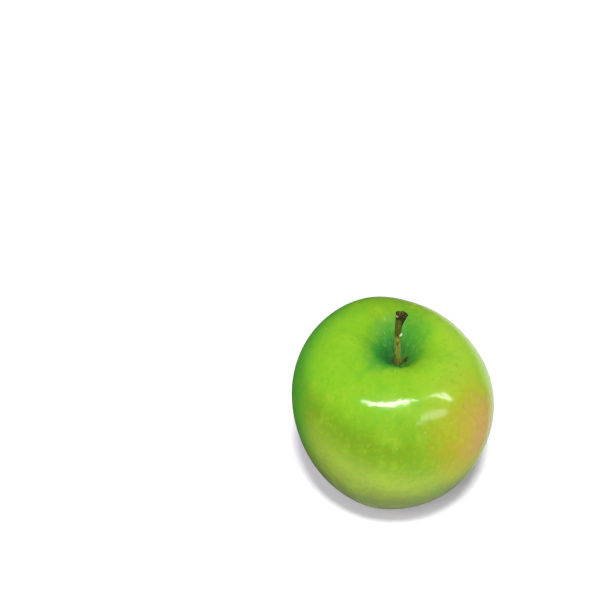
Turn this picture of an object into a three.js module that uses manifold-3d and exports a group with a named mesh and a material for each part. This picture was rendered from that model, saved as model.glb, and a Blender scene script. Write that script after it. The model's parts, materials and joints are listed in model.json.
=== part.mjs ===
// A whole green apple standing upright: the fruit, its woody stem and, under it, the dried flower end
// (the calyx). Millimetres. +Z runs up the core to the stem, -Y is the front and +X the blushed side.
// The origin lies on the surface that the apple stands on, under the middle of its outline.
import * as THREE from "three";
import { mergeVertices } from "three/addons/utils/BufferGeometryUtils.js";
import Module from "manifold-3d";

const wasm = await Module();
wasm.setup();

// ---- The fruit ----------------------------------------------------------------------------------
const HALF_WIDTH = 37.5; // at the widest height
const CROWN_RISE = 34.2; // widest height to the crown, before the stem cavity is sunk
const BASE_DROP = 46.3; // widest height to the base, before the calyx basin is raised
const CROWN_SQUARENESS = 2.29; // 2 is a round shoulder
const BASE_SQUARENESS = 1.97;
const BASE_TAPER = 0.133; // share of the width that the base loses, which makes the apple slightly conical
const CAVITY_DEPTH = 15.4; // of the funnel round the stem
const CAVITY_REACH = 10.9;
const CAVITY_FUNNEL = 1.7; // 2 is a round bowl, less is a funnel
const BASIN_DEPTH = 16; // of the hollow round the calyx
const BASIN_REACH = 9.5;
const LOBES = 5; // one to each seed chamber
const LOBE_TURN = degrees(34); // where the first lobe points
const LOBE_SWELL = 0.008; // share of the radius at the two ends
const LOBE_WAIST = 0.35; // share of that swell which is left at the widest height
const LOBE_FADE = 0.4; // share of the half width inside which the ripples fade out towards the core
const CROWN_RIPPLE = 0.4; // how far the lobes stand up round the cavity
const FOOT_RIPPLE = 0.5; // how far they reach down round the basin
const CROWN_LEAN = 0.177; // the crown is higher on one side
const LEAN_TOWARDS = degrees(147);
const LEAN_CURVE = 1.5; // how late the lean sets in on the way up
const OVALNESS = 0.0135;
const OVAL_TOWARDS = degrees(124);
const FOOT_TRIM = 0.4; // the feet are flattened by this much where they stand

// Soft flats where fruit pressed on its neighbours: where each lies round and up the fruit, and how deep it is.
const FLATS = [
  { towards: degrees(30), height: 60, depth: 0.8, reach: 13 },
  { towards: degrees(193), height: 31, depth: 0.6, reach: 14 },
];

const FRUIT_AROUND = 72;
const FRUIT_ALONG = 48;

// ---- The stem -----------------------------------------------------------------------------------
const STEM_ROOT = 4; // how deep it is set below the cavity floor
const STEM_LENGTH = 25; // above the cavity floor
const STEM_RADIUS = 1.12; // at its slimmest
const STEM_COLLAR = 0.42; // how much thicker it is where it leaves the fruit
const COLLAR_REACH = 0.16; // share of the length
const STEM_KNOB = 0.95; // how much thicker its cut end is
const KNOB_START = 0.68; // share of the length
const KNOB_FLATTENING = 0.12;
const THREE_RIDGES = 0.05; // shares of the radius
const FIVE_RIDGES = 0.03;
const RIDGE_TWIST = 4; // radians of the three ridges over the length
const STEM_SIDES = 12;
const STEM_STEPS = 20;
// The bends: how far the middle of the stem lies right of and behind the core, at shares of its length.
const STEM_BENDS = [
  [0, 0, -STEM_ROOT / STEM_LENGTH],
  [0, 0, 0],
  [-0.55, 0.1, 0.28],
  [-0.9, 0.2, 0.56],
  [-0.7, 0.2, 0.78],
  [0.35, 0.1, 1],
];

// ---- The calyx ----------------------------------------------------------------------------------
const CUP_RADIUS = 3;
const CUP_HEIGHT = 2.2; // how deep it is set into the basin floor
const CUP_SHOULDER = 0.35; // where it starts to narrow
const CUP_WAIST = 0.8; // share of its radius that is left at three quarters of its height
const CUP_LIP = 0.7; // how far it stands out of the basin floor
const CUP_SIDES = 20;
const SOCKET_LIP = 2.5; // how far its socket reaches out through the sloping floor

const SEPALS = 5;
const SEPAL_LENGTH = 6.2;
const SEPAL_ROOT = 0.8; // how deep it is sunk in the cup
const SEPAL_RING = 2.1; // how far from the core the sepals stand
const SEPAL_HALF_WIDTH = 1.55;
const SEPAL_TIP = 0.16; // half width of the tip
const SEPAL_TAPER = 0.75; // 1 is a straight-sided point, less is a fuller leaf
const SEPAL_LEAN = 0.75; // how far it leans in over the cup
const SEPAL_CURL = 2.6; // how far its tip curls out
const SEPAL_LIFT = 0.16; // share of the length that the curl takes
const SEPAL_CUPPING = 0.25; // how far its edges turn in
const SEPAL_THICKNESS = 0.62;
const SEPAL_ACROSS = 4;
const SEPAL_ALONG = 8;

const STAMENS = 8;
const STAMEN_RADIUS = 0.34;
const STAMEN_LENGTH = 3.4;
const STAMEN_ROOT = 0.6; // how deep it is sunk in the cup
const STAMEN_HEAD = 1.25; // the anther's width against the filament's
const STAMEN_SPREAD = 1; // radius of the bunch at its foot
const STAMEN_FAN = 1.35; // how much wider the bunch is at its tips
const STAMEN_BOW = 0.2;
const GOLDEN_ANGLE = degrees(137.508);

const CLEARANCE = 0.32; // between one solid and the socket that holds it

function degrees(angle) {
  return (angle * Math.PI) / 180;
}

// ---- Solids -------------------------------------------------------------------------------------
function solidOf(geometry) {
  const bare = geometry.clone();
  bare.deleteAttribute("normal");
  bare.deleteAttribute("uv");
  const merged = mergeVertices(bare, 1e-3);
  return new wasm.Manifold(
    new wasm.Mesh({
      numProp: 3,
      vertProperties: merged.attributes.position.array,
      triVerts: new Uint32Array(merged.index.array),
    }),
  );
}

function geometryOf(solid) {
  const mesh = solid.getMesh();
  const geometry = new THREE.BufferGeometry();
  geometry.setAttribute("position", new THREE.BufferAttribute(mesh.vertProperties, 3));
  geometry.setIndex(new THREE.BufferAttribute(mesh.triVerts, 1));
  geometry.computeVertexNormals();
  return geometry;
}

// A closed tube along a curve. radiusAt(share of the length, angle round) gives its wall.
function loft(curve, radiusAt, sides, steps) {
  const frames = curve.computeFrenetFrames(steps);
  const points = [];
  for (let step = 0; step <= steps; step++) {
    const share = step / steps;
    const middle = curve.getPointAt(share);
    const [out, side] = levelAxes(frames.tangents[step]);
    for (let k = 0; k < sides; k++) {
      const angle = (2 * Math.PI * k) / sides;
      const radius = radiusAt(share, angle);
      const point = middle.clone().addScaledVector(out, radius * Math.cos(angle));
      points.push(point.addScaledVector(side, radius * Math.sin(angle)));
    }
  }
  const first = points.push(curve.getPointAt(0)) - 1;
  const last = points.push(curve.getPointAt(1)) - 1;
  const faces = [];
  for (let k = 0; k < sides; k++) {
    const next = (k + 1) % sides;
    const top = steps * sides;
    faces.push(first, next, k, last, top + k, top + next);
    for (let step = 0; step < steps; step++) {
      const low = step * sides;
      const high = low + sides;
      faces.push(low + k, low + next, high + next, low + k, high + next, high + k);
    }
  }
  return new THREE.BufferGeometry().setFromPoints(points).setIndex(faces);
}

// Two axes square to a direction, the first of them kept close to +X so that a loft doesn't twist.
function levelAxes(direction) {
  const out = new THREE.Vector3(1, 0, 0).addScaledVector(direction, -direction.x).normalize();
  return [out, new THREE.Vector3().crossVectors(direction, out)];
}

// A closed plate of even thickness over a sheet. pointAt(share along, -1 to 1 across, -1 or 1 for the face).
function blade(pointAt, along, across) {
  const points = [];
  for (const face of [-1, 1]) {
    for (let i = 0; i <= along; i++) {
      for (let j = 0; j <= across; j++) {
        points.push(pointAt(i / along, (2 * j) / across - 1, face));
      }
    }
  }
  const row = across + 1;
  const back = (along + 1) * row;
  const faces = [];
  const quad = (a, b, c, d) => faces.push(a, b, c, a, c, d);
  for (let i = 0; i < along; i++) {
    for (let j = 0; j < across; j++) {
      const a = i * row + j;
      quad(a, a + 1, a + row + 1, a + row);
      quad(back + a + row, back + a + row + 1, back + a + 1, back + a);
    }
    const left = i * row;
    const right = left + across;
    quad(left + row, back + left + row, back + left, left);
    quad(right, back + right, back + right + row, right + row);
  }
  const tip = along * row;
  for (let j = 0; j < across; j++) {
    quad(j, back + j, back + j + 1, j + 1);
    quad(tip + j + 1, back + tip + j + 1, back + tip + j, tip + j);
  }
  return new THREE.BufferGeometry().setFromPoints(points).setIndex(faces);
}

// ---- The fruit ----------------------------------------------------------------------------------
// A point of the skin about the core, measured from the widest height. along runs from 0 at the calyx
// to 1 at the stem, and around is the angle from +X.
function skin(along, around) {
  const upright = -Math.cos(Math.PI * along); // -1 at the base, 1 at the crown
  const isCrown = upright >= 0;
  const power = 2 / (isCrown ? CROWN_SQUARENESS : BASE_SQUARENESS);
  const end = upright * upright;
  const lobe = Math.cos(LOBES * (around - LOBE_TURN));

  const round = HALF_WIDTH * Math.sin(Math.PI * along) ** power;
  const radius = round * (1 - (isCrown ? 0 : BASE_TAPER * end));
  const swell = LOBE_SWELL * lobe * (LOBE_WAIST + (1 - LOBE_WAIST) * end);
  const oval = OVALNESS * Math.cos(2 * (around - OVAL_TOWARDS));
  const swollen = radius * (1 + swell + oval);

  const ripple = lobe * end * Math.min(1, radius / (LOBE_FADE * HALF_WIDTH));
  const level = Math.abs(upright) ** power;
  const height = isCrown
    ? CROWN_RISE * level -
      CAVITY_DEPTH * Math.exp(-((radius / CAVITY_REACH) ** CAVITY_FUNNEL)) +
      CROWN_RIPPLE * ripple +
      CROWN_LEAN * radius * Math.cos(around - LEAN_TOWARDS) * upright ** LEAN_CURVE
    : BASIN_DEPTH * Math.exp(-((radius / BASIN_REACH) ** 2)) - BASE_DROP * level - FOOT_RIPPLE * ripple;
  return new THREE.Vector3(swollen * Math.cos(around), swollen * Math.sin(around), height);
}

// Presses the soft flats into a point that is already at its height above the feet.
function press(point) {
  for (const { towards, height, depth, reach } of FLATS) {
    const centre = new THREE.Vector3(HALF_WIDTH * Math.cos(towards), HALF_WIDTH * Math.sin(towards), height);
    const push = depth * Math.exp(-point.distanceToSquared(centre) / reach ** 2);
    point.x -= push * Math.cos(towards);
    point.y -= push * Math.sin(towards);
  }
  return point;
}

// A sphere's grid moved onto the skin, standing on five small flats at z = 0.
function fruitGeometry(liftToFeet) {
  const geometry = new THREE.SphereGeometry(1, FRUIT_AROUND, FRUIT_ALONG);
  const { position, uv } = geometry.attributes;
  for (let i = 0; i < position.count; i++) {
    // The grid's seam and its two poles each get one exact place.
    const around = 2 * Math.PI * (Math.round(uv.getX(i) * 2 * FRUIT_AROUND) / (2 * FRUIT_AROUND));
    const point = skin(uv.getY(i), around === 2 * Math.PI ? 0 : around);
    point.z += liftToFeet;
    press(point);
    position.setXYZ(i, point.x, point.y, Math.max(0, point.z));
  }
  return geometry;
}

// How far the widest height lies above the trimmed feet.
function liftToFeet() {
  let lowest = 0;
  for (let i = 0; i <= FRUIT_ALONG; i++) {
    for (let k = 0; k < FRUIT_AROUND; k++) {
      lowest = Math.min(lowest, skin(i / FRUIT_ALONG, (2 * Math.PI * k) / FRUIT_AROUND).z);
    }
  }
  return -lowest - FOOT_TRIM;
}

// ---- The stem -----------------------------------------------------------------------------------
function stemCurve(floor) {
  return new THREE.CatmullRomCurve3(
    STEM_BENDS.map(([right, back, share]) => new THREE.Vector3(right, back, floor + share * STEM_LENGTH)),
  );
}

// Thick where it leaves the fruit, slim in the middle, with a broad knob at the cut end and faint ridges.
function stemRadius(share, angle) {
  const root = STEM_ROOT / (STEM_ROOT + STEM_LENGTH);
  const above = Math.max(0, (share - root) / (1 - root));
  const collar = STEM_COLLAR * Math.exp(-((above / COLLAR_REACH) ** 2));
  const knob = STEM_KNOB * Math.max(0, (above - KNOB_START) / (1 - KNOB_START)) ** 2;
  const threeRidges = THREE_RIDGES * Math.cos(3 * angle + RIDGE_TWIST * above);
  const ridges = 1 + threeRidges + FIVE_RIDGES * Math.cos(5 * angle);
  const flattened = 1 + KNOB_FLATTENING * knob * Math.cos(2 * angle);
  return (STEM_RADIUS + collar + knob) * ridges * flattened;
}

// ---- The calyx ----------------------------------------------------------------------------------
// Sepals stand in a ring round the mouth of the cup, lean in over it, and curl outwards at their tips.
function sepal(index, mouth) {
  const turn = LOBE_TURN + (2 * Math.PI * index) / SEPALS;
  const curl = 1 + 0.25 * Math.sin(2.3 * index); // each sepal curls a little differently
  return blade(
    (along, across, face) => {
      const width = SEPAL_HALF_WIDTH * (1 - along) ** SEPAL_TAPER + SEPAL_TIP;
      const fromCore = SEPAL_RING - SEPAL_LEAN * Math.sin(1.9 * along) + SEPAL_CURL * curl * along ** 3;
      const down = SEPAL_LENGTH * (along - SEPAL_LIFT * curl * along ** 4) - SEPAL_ROOT;
      const cupped = SEPAL_CUPPING * across * across * (1 - along);
      const outwards = fromCore - cupped + (face * SEPAL_THICKNESS) / 2;
      return new THREE.Vector3(
        outwards * Math.cos(turn) - across * width * Math.sin(turn),
        outwards * Math.sin(turn) + across * width * Math.cos(turn),
        mouth - down,
      );
    },
    SEPAL_ALONG,
    SEPAL_ACROSS,
  );
}

// Withered stamens in a bunch inside the ring, spaced as seeds are in a flower head.
function stamen(index, mouth) {
  const turn = index * GOLDEN_ANGLE;
  const spread = STAMEN_SPREAD * (0.25 + 0.75 * Math.sqrt((index + 0.5) / STAMENS));
  const length = STAMEN_LENGTH * (0.8 + 0.2 * Math.cos(5 * index));
  const foot = new THREE.Vector3(spread * Math.cos(turn), spread * Math.sin(turn), mouth + STAMEN_ROOT);
  const tip = new THREE.Vector3(foot.x * STAMEN_FAN, foot.y * STAMEN_FAN, mouth - length);
  const bow = new THREE.Vector3(-Math.sin(turn), Math.cos(turn), 0).multiplyScalar(STAMEN_BOW);
  const middle = foot.clone().lerp(tip, 0.5).add(bow);
  const wall = (share) => STAMEN_RADIUS * (share > 0.8 ? STAMEN_HEAD : 1);
  return loft(new THREE.CatmullRomCurve3([foot, middle, tip]), wall, 5, 5);
}

// The cup that the sepals and stamens stand on, set into the floor of the basin. A socket for it is
// grown all round and opens downwards through the basin's sloping floor.
function cup(mouth, grown = 0) {
  const wall = CUP_RADIUS + grown;
  const lip = grown ? SOCKET_LIP : CUP_LIP;
  const profile = [
    [0, -lip],
    [wall, -lip],
    [wall, CUP_SHOULDER],
    [wall * CUP_WAIST, CUP_HEIGHT * 0.75 + grown],
    [0, CUP_HEIGHT + grown],
  ];
  const lathe = new THREE.LatheGeometry(
    profile.map(([x, y]) => new THREE.Vector2(x, y)),
    CUP_SIDES,
  );
  return lathe.rotateX(Math.PI / 2).translate(0, 0, mouth);
}

// ---- Assembly -----------------------------------------------------------------------------------
function part(name, geometry, colour, roughness) {
  const material = new THREE.MeshStandardMaterial({ color: colour, roughness, metalness: 0 });
  const mesh = new THREE.Mesh(geometry, material);
  mesh.name = name;
  return mesh;
}

const lift = liftToFeet();
const cavityFloor = skin(1, 0).z + lift;
const basinFloor = skin(0, 0).z + lift;

const wholeFruit = fruitGeometry(lift);
const stem = loft(stemCurve(cavityFloor), stemRadius, STEM_SIDES, STEM_STEPS);
const stemSocket = loft(
  stemCurve(cavityFloor - CLEARANCE),
  (share, angle) => stemRadius(share, angle) + CLEARANCE,
  STEM_SIDES,
  STEM_STEPS,
);
const fruit = solidOf(wholeFruit).subtract(solidOf(stemSocket)).subtract(solidOf(cup(basinFloor, CLEARANCE)));

let calyx = solidOf(cup(basinFloor));
for (let i = 0; i < SEPALS; i++) {
  calyx = calyx.add(solidOf(sepal(i, basinFloor)));
}
for (let i = 0; i < STAMENS; i++) {
  calyx = calyx.add(solidOf(stamen(i, basinFloor)));
}

const apple = new THREE.Group();
apple.add(
  part("fruit", geometryOf(fruit), 0x86c32c, 0.35),
  part("stem", stem, 0x5b4526, 0.8),
  part("calyx", geometryOf(calyx), 0x6a5a3c, 0.9),
);

// The outline's middle goes over the origin.
wholeFruit.computeBoundingBox();
const middle = wholeFruit.boundingBox.getCenter(new THREE.Vector3());
apple.position.set(-middle.x, -middle.y, 0);

export default apple;
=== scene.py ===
"""A green apple: the fruit, its woody stem and its dried calyx, on a pale floor in soft studio light.

The file is laid out as a Blender add-on. Each group of settings holds the sizes and colours that one
piece is made from, and each operator makes one piece. All lengths are in metres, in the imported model's
frame: +Z runs up the core to the stem, -Y is the front, and the floor is at z = 0.
"""

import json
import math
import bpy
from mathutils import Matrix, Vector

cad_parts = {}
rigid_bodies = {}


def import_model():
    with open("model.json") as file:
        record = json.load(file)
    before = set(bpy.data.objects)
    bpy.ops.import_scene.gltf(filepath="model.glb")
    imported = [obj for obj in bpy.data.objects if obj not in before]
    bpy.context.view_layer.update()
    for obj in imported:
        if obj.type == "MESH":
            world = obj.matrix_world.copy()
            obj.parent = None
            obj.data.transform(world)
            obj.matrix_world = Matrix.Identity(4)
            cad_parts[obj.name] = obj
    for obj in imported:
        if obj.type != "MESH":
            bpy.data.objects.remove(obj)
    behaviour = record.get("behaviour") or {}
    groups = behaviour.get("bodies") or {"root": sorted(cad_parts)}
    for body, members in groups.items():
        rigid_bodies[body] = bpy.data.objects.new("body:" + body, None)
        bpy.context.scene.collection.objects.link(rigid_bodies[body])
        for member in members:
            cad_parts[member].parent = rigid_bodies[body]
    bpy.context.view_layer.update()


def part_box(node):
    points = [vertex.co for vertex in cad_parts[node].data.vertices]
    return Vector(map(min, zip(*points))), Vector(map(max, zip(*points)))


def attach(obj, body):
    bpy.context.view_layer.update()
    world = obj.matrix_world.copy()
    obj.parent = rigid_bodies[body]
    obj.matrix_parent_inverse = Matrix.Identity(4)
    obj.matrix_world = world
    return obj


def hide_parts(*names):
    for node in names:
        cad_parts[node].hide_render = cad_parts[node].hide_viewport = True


bl_info = {
    "name": "Green Apple",
    "version": (1, 0, 0),
    "blender": (4, 5, 0),
    "location": "3D View > Sidebar > Apple",
    "description": "Grows a green apple with its stem and dried calyx round the packed model",
    "category": "Add Mesh",
}

import bpy
import numpy as np
from bpy.props import FloatProperty, FloatVectorProperty, IntProperty, PointerProperty
from bpy.types import Operator, Panel, PropertyGroup
from mathutils import Vector, noise

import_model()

MM = 0.001
TURN = 2 * math.pi
BODY = "root"
GOLDEN_ANGLE = math.radians(137.508)
PIECES = ("fruit_skin", "stem_bark", "dried_calyx")

# Soft flats where fruit pressed on its neighbours: degrees round the core, height, depth and reach in mm.
SOFT_FLATS = ((30, 60, 0.8, 13), (193, 31, 0.6, 14))
# The stem's bends: mm right of and behind its foot, at shares of its length above the fruit.
STEM_BENDS = (
    (0, 0, -0.16),
    (0, 0, 0),
    (-0.6, -0.42, 0.28),
    (-1.0, -0.85, 0.56),
    (-0.95, -1.16, 0.78),
    (-0.2, -0.87, 1),
)
# Waves round the core that add up to the pleats and to the puckers: how many, how high and where they start.
PLEATS = ((11, 1.0, 1.7), (19, 0.8, 0.4), (31, 0.6, 2.2))
PUCKERS = ((10, 0.7, 0.9), (23, 0.5, 0.3))
# Middles of the warm patch and of the blush: mm right of and behind the core and above the floor.
WARM_SPOT = (26.5, -25, 51)
SUN_SPOT = (28.5, -23, 50)
# The way to the side that is painted in shade: right, behind and up.
SHADED_SIDE = (-0.7, 0.6, -0.38)


# ---- Settings --------------------------------------------------------------------------------------


def length(name, millimetres, description):
    """A length that the panel shows in the scene's units."""
    return FloatProperty(
        name=name, description=description, default=millimetres * MM, min=0, unit="LENGTH", precision=5
    )


def share(name, default, description):
    return FloatProperty(name=name, description=description, default=default, min=0, max=1, subtype="FACTOR")


def number(name, default, description):
    return FloatProperty(name=name, description=description, default=default)


def count(name, default, description):
    return IntProperty(name=name, description=description, default=default, min=1)


def angle(name, degrees, description):
    return FloatProperty(name=name, description=description, default=math.radians(degrees), subtype="ANGLE")


def linear(red, green, blue):
    """A colour given as screen values from 0 to 255, as the linear values that materials use."""
    shares = [channel / 255 for channel in (red, green, blue)]
    return tuple(s / 12.92 if s <= 0.04045 else ((s + 0.055) / 1.055) ** 2.4 for s in shares)


def colour(name, screen, description):
    return FloatVectorProperty(
        name=name, description=description, default=linear(*screen), size=3, min=0, max=1, subtype="COLOR"
    )


class FruitSettings(PropertyGroup):
    """The fruit's form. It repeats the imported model's formula, and adds relief that is too fine for it."""

    half_width: length("Half width", 37.5, "From the core to the skin at the widest height")
    crown_rise: length("Crown rise", 34.2, "From the widest height to the crown, before the cavity is sunk")
    base_drop: length("Base drop", 46.3, "From the widest height to the base, before the basin is raised")
    crown_squareness: number("Crown squareness", 2.29, "2 is a round shoulder")
    base_squareness: number("Base squareness", 1.97, "2 is a round base")
    base_taper: share("Base taper", 0.133, "Share of the width that the base loses")
    cavity_depth: length("Cavity depth", 15.4, "Depth of the funnel round the stem")
    cavity_reach: length("Cavity reach", 10.9, "How far from the core the funnel falls away")
    cavity_funnel: number("Cavity funnel", 1.7, "2 is a round bowl, less is a funnel")
    basin_depth: length("Basin depth", 16, "Depth of the hollow round the calyx")
    basin_reach: length("Basin reach", 9.5, "How far from the core the hollow falls away")
    lobes: count("Lobes", 5, "One to each seed chamber")
    lobe_turn: angle("Lobe turn", 34, "Where the first lobe points")
    lobe_swell: share("Lobe swell", 0.008, "Share of the radius at the two ends")
    lobe_waist: share("Lobe waist", 0.35, "Share of the swell that is left at the widest height")
    lobe_fade: share("Lobe fade", 0.4, "Share of the half width inside which the ripples fade out")
    crown_ripple: length("Crown ripple", 0.4, "How far the lobes stand up round the cavity")
    foot_ripple: length("Foot ripple", 0.5, "How far the lobes reach down round the basin")
    crown_lean: share("Crown lean", 0.177, "How much higher the crown is on one side")
    lean_towards: angle("Lean towards", 147, "The crown's high side")
    lean_curve: number("Lean curve", 1.5, "How late the lean sets in on the way up")
    ovalness: share("Ovalness", 0.0135, "Share of the radius")
    oval_towards: angle("Oval towards", 124, "The long way of the oval")
    foot_trim: length("Foot trim", 0.4, "How much of the feet the floor flattens")
    cavity_shift: length("Cavity shift", 1.1, "How far to the right of the core the stem stands")
    cavity_shift_reach: length("Cavity shift reach", 20, "How far from the core that is felt")
    cavity_tilt: share("Cavity tilt", 0.13, "How much higher the cavity's lip is on one side")
    tilt_towards: angle("Tilt towards", -30, "The lip's high side")
    tilt_reach: length("Tilt reach", 15, "How far from the core the tilt is felt")

    rows: count("Rows", 224, "Rings of the mesh from the calyx to the stem")
    columns: count("Columns", 336, "Points in each ring")
    swells: length("Swells", 0.16, "Height of the broad unevenness of the skin")
    dents: length("Dents", 0.03, "Height of the small unevenness that breaks up a reflection")
    cavity_pleats: length("Cavity pleats", 0.13, "Height of the fine pleats in the cavity")
    basin_pleats: length("Basin pleats", 0.42, "Height of the puckers round the calyx")
    stem_welt: length("Stem welt", 0.5, "Height of the flesh that closes round the stem")


class SkinSettings(PropertyGroup):
    """The colours of the skin, among them painted shade and painted light."""

    green: colour("Green", (111, 149, 20), "The skin's main colour")
    shoulder: colour("Shoulder", (130, 190, 32), "The lighter green of the crown")
    yellow: colour("Yellow", (152, 190, 46), "The shoulder on the ripe side")
    # Painted shade: a darker green along the left and back-left side. It also darkens random patches of the
    # mottling.
    shade: colour("Shade green", (54, 156, 36), "The side that grew in the shade")
    # Partly the skin's paler lower colour, partly painted light that brightens the lower half.
    olive: colour("Olive", (148, 174, 60), "The lower half")
    # Painted shade that darkens the skin near the floor.
    under: colour("Underside green", (100, 114, 46), "The skin near the floor")
    # The cavity's greener skin, darkened with painted shade; the deep colour is painted shade on the
    # cavity's floor.
    cavity: colour("Cavity", (52, 148, 50), "The skin in the stem cavity")
    cavity_deep: colour("Deep cavity", (44, 114, 56), "The cavity's floor")
    warm: colour("Warm green", (168, 152, 34), "The skin round the blush")
    blush: colour("Blush", (190, 143, 92), "The side that grew in the sun")
    lenticel: colour("Lenticels", (190, 222, 120), "The pale dots of the skin")
    russet: colour("Russet", (110, 100, 48), "The corky skin where the stem leaves it")


class StemSettings(PropertyGroup):
    """The stem's form and colours."""

    root: length("Root", 4, "How deep it is set below the cavity's floor")
    reach: length("Length", 24.67, "From the cavity's floor to the cut end")
    radius: length("Radius", 1.12, "At its slimmest")
    collar: length("Collar", 0.3, "How much thicker it is where it leaves the fruit")
    collar_reach: share("Collar reach", 0.16, "Share of the length that the collar takes")
    knob: length("Knob", 0.88, "How much thicker the cut end is")
    knob_start: share("Knob start", 0.68, "Share of the length at which the knob begins")
    rows: count("Rows", 170, "Rings of the mesh along the stem")
    sides: count("Sides", 64, "Points in each ring")
    fissures: length("Fissures", 0.075, "Depth of the grooves along the bark")
    bark_low: colour("Lower bark", (164, 168, 68), "The green-brown bark near the fruit")
    bark_high: colour("Upper bark", (86, 91, 22), "The dark bark near the cut end")
    bark_dark: colour("Grooves", (30, 26, 10), "The bottom of the grooves")
    cut: colour("Cut end", (136, 106, 38), "The scar where it left the branch")
    # The same pale colour paints a glint on the left of the cut end's rim.
    scar: colour("Bud scar", (208, 210, 158), "The pale scar on its side, and the rim's bare edge")


class CalyxSettings(PropertyGroup):
    """The dried calyx under the fruit."""

    cup_radius: length("Cup radius", 3, "The ring that the sepals stand on")
    cup_height: length("Cup height", 2.2, "The cup's height, without its lip")
    cup_lip: length("Cup lip", 0.7, "How far it stands out of the basin's floor")
    sepals: count("Sepals", 5, "Dried sepals in the ring")
    sepal_length: length("Sepal length", 6.2, "Along the sepal")
    sepal_half_width: length("Sepal half width", 1.55, "At its root")
    sepal_thickness: length("Sepal thickness", 0.42, "At its middle line")
    stamens: count("Stamens", 17, "Withered stamens in the middle")
    stamen_length: length("Stamen length", 3.6, "Along the stamen")
    hairs: count("Hairs", 520, "Fine hairs on the sepals")
    brown: colour("Brown", (104, 82, 50), "The dried sepals")
    dark: colour("Dark", (48, 36, 22), "Their folds and tips")
    pale: colour("Pale", (176, 158, 112), "The hairs and the stamens")


class StudioSettings(PropertyGroup):
    """The floor, the light and the camera."""

    floor_radius: length("Floor radius", 6000, "The pale floor reaches this far")
    floor: colour("Floor", (242, 242, 242), "The pale floor")
    room: number("Room", 0.05, "Brightness of the room above the floor")
    room_right: number("Window side", 1.0, "How much brighter the room is behind the apple on the right")
    room_below: number("Table glow", 0.22, "Brightness that the skin reflects from below")
    key_power: number("Key power", 0.6, "Sunlight on the apple from overhead")
    dome_power: number("Dome power", 3.1, "Even light on the apple from all round")
    fill_power: number("Fill power", 1.15, "Broad light on the apple from the front")
    floor_lamp_power: number("Floor lamp power", 7.8, "The lamp that casts the apple's shadow, in watts")
    floor_dome_power: number("Floor dome power", 0.5, "Even light on the floor from all round")
    floor_front_power: number("Floor front power", 2.2, "Light that is left in the apple's shadow")
    floor_front_tint: colour("Floor front tint", (241, 230, 252), "Cancels the green from the apple")
    strip_glow: number("Strip glow", 38, "Brightness of the long lamp that the skin reflects")
    side_glow: number("Side lamp glow", 19, "Brightness of the short lamp on the right")
    panel_glow: number("Panel glow", 5.8, "Brightness of the dim panels on the right")
    lamp_height: length("Lamp height", 1000, "The reflected lamps hang at this height")
    pitch: angle("Camera pitch", 40.5, "How far the camera looks down")
    distance: length("Camera distance", 372.35, "From the camera to the core, along its line of sight")
    lens: FloatProperty(name="Lens", description="Focal length", default=60, min=1, unit="CAMERA")


SETTINGS = {
    "apple_fruit": FruitSettings,
    "apple_skin": SkinSettings,
    "apple_stem": StemSettings,
    "apple_calyx": CalyxSettings,
    "apple_studio": StudioSettings,
}


# ---- Form ------------------------------------------------------------------------------------------


def fade(value, low, high):
    """0 at low and 1 at high, with a smooth start and end. low may be above high."""
    part = np.clip((value - low) / (high - low), 0, 1)
    return part * part * (3 - 2 * part)


def bumps(points, wavelength, seed):
    """Smooth noise from about -1 to 1 at each point, with humps a wavelength apart."""
    start = Vector((7.1, 3.7, 5.3)) * seed
    return np.array([noise.noise(Vector(point) / wavelength + start) for point in points])


def waves(around, table):
    """The sum of the waves in table at each angle: rows of (how many, how high, where they start)."""
    return sum(high * np.cos(many * around + start) for many, high, start in table)


def through(places, at):
    """Smooth values at the shares in at, through places: rows of (value, ..., share)."""
    table = np.array(places, float)
    shares, values = table[:, -1], table[:, :-1]
    slopes = np.gradient(values, shares, axis=0)
    step = np.clip(np.searchsorted(shares, at, side="right") - 1, 0, len(shares) - 2)
    width = shares[step + 1] - shares[step]
    t = ((at - shares[step]) / width)[:, None]
    width = width[:, None]
    return (
        (2 * t**3 - 3 * t**2 + 1) * values[step]
        + (t**3 - 2 * t**2 + t) * width * slopes[step]
        + (3 * t**2 - 2 * t**3) * values[step + 1]
        + (t**3 - t**2) * width * slopes[step + 1]
    )


def skin(fruit, along, around):
    """Points of the skin about the core, from the widest height. along is 0 at the calyx, 1 at the stem."""
    upright = -np.cos(np.pi * along)
    is_crown = upright >= 0
    power = 2 / np.where(is_crown, fruit.crown_squareness, fruit.base_squareness)
    end = upright**2
    lobe = np.cos(fruit.lobes * (around - fruit.lobe_turn))

    circle = fruit.half_width * np.maximum(np.sin(np.pi * along), 0) ** power
    radius = circle * (1 - np.where(is_crown, 0, fruit.base_taper * end))
    swell = fruit.lobe_swell * lobe * (fruit.lobe_waist + (1 - fruit.lobe_waist) * end)
    oval = fruit.ovalness * np.cos(2 * (around - fruit.oval_towards))
    swollen = radius * (1 + swell + oval)

    ripple = lobe * end * np.minimum(1, radius / (fruit.lobe_fade * fruit.half_width))
    level = np.abs(upright) ** power
    funnel = fruit.cavity_depth * np.exp(-((radius / fruit.cavity_reach) ** fruit.cavity_funnel))
    lean = fruit.crown_lean * radius * np.cos(around - fruit.lean_towards)
    crown = fruit.crown_rise * level - funnel + fruit.crown_ripple * ripple
    crown = crown + lean * np.maximum(upright, 0) ** fruit.lean_curve
    tilt = fruit.cavity_tilt * radius * np.cos(around - fruit.tilt_towards)
    crown = crown + tilt * np.exp(-((radius / fruit.tilt_reach) ** 4))
    basin = fruit.basin_depth * np.exp(-((radius / fruit.basin_reach) ** 2))
    base = basin - fruit.base_drop * level - fruit.foot_ripple * ripple
    shifted = np.where(is_crown, fruit.cavity_shift * np.exp(-((radius / fruit.cavity_shift_reach) ** 4)), 0)
    right = swollen * np.cos(around) + shifted
    return np.stack([right, swollen * np.sin(around), np.where(is_crown, crown, base)], -1)


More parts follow.
